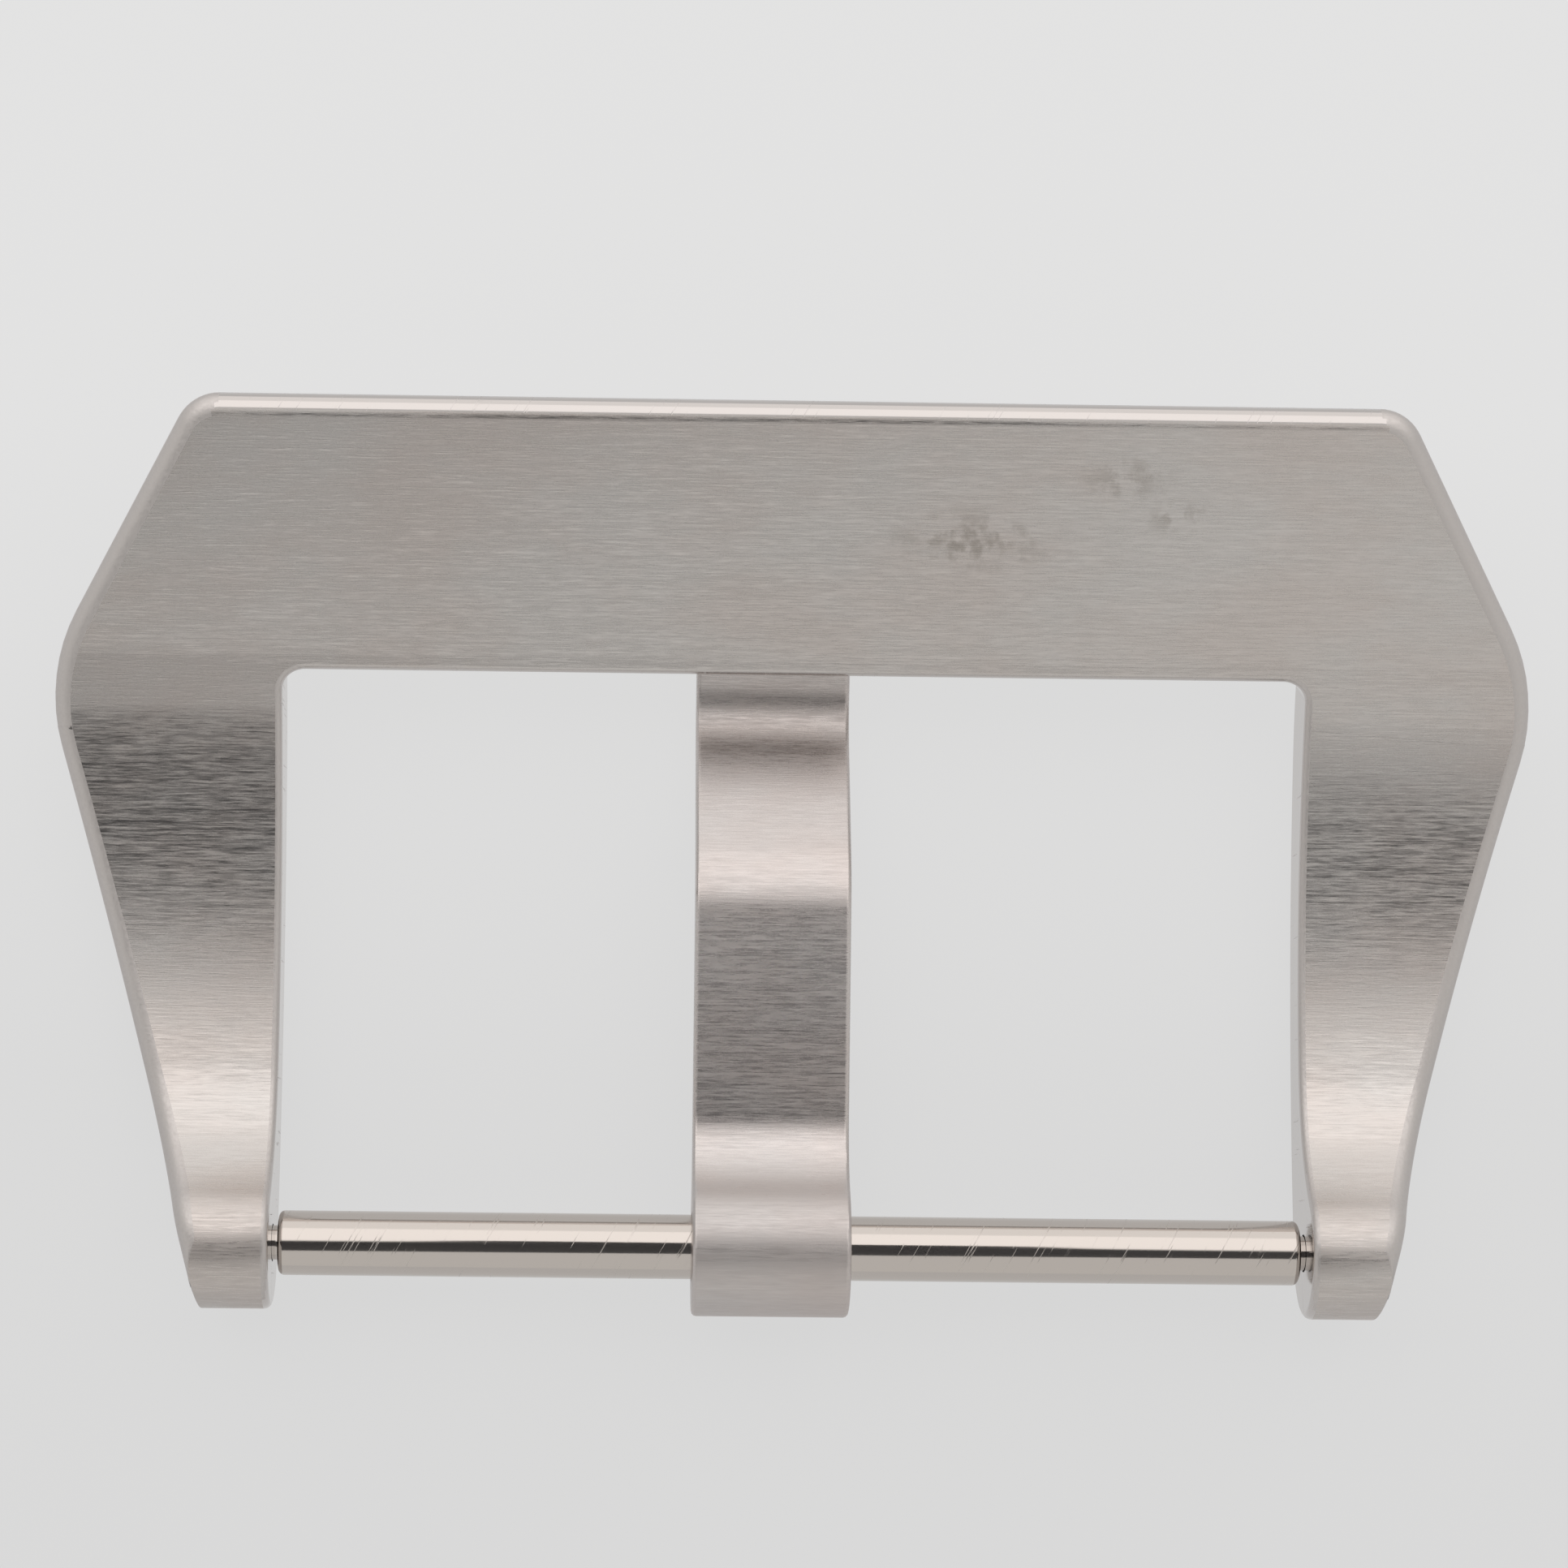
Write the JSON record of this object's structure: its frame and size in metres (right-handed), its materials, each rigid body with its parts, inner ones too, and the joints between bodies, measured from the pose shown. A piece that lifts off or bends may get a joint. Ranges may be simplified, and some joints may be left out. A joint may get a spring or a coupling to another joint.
{
  "type": "watch tang buckle",
  "caption": "Curved steel tang buckle for a watch strap: a wide bar with tapering arms, a sprung bar between their ends, and a bent tang that turns on it.",
  "frame": {"origin": "middle of the spring bar's axis, between the two arms", "axes": "+X along the spring bar, +Y from the spring bar towards the wide bar, +Z out of the side that faces the wrist; the buckle lies as at rest on its outer side"},
  "size_m": [0.0346, 0.021, 0.0054],
  "materials": {
    "frame_steel": "brushed along the bar",
    "tang_steel": "brushed across the tang",
    "bar_steel": "polished",
    "spring_wire": "drawn wire"
  },
  "bodies": {
    "frame": {"frame": "frame_steel"},
    "tang": {"tang": "tang_steel"},
    "spring_bar": {"spring_bar_tube": "bar_steel", "spring_bar_coil": "spring_wire"},
    "tip_left": {"spring_bar_tip_left": "bar_steel"},
    "tip_right": {"spring_bar_tip_right": "bar_steel"}
  },
  "joints": [
    {"name": "tang_swing", "type": "hinge", "parent": "frame", "child": "tang", "pos_m": [0, 0, 0], "axis": [-1, 0, 0], "range_deg": [0, 347]},
    {"name": "bar_spin", "type": "hinge", "parent": "frame", "child": "spring_bar", "pos_m": [0, 0, 0], "axis": [1, 0, 0], "continuous": true},
    {"name": "tip_left_slide", "type": "slide", "parent": "spring_bar", "child": "tip_left", "axis": [1, 0, 0], "range_m": [0, 0.00105], "stiffness_N_per_m": 1500, "springref_m": -0.0005, "deforming": ["spring_bar_coil"]},
    {"name": "tip_right_slide", "type": "slide", "parent": "spring_bar", "child": "tip_right", "axis": [-1, 0, 0], "range_m": [0, 0.00105], "stiffness_N_per_m": 1500, "springref_m": -0.0005, "deforming": ["spring_bar_coil"]}
  ]
}
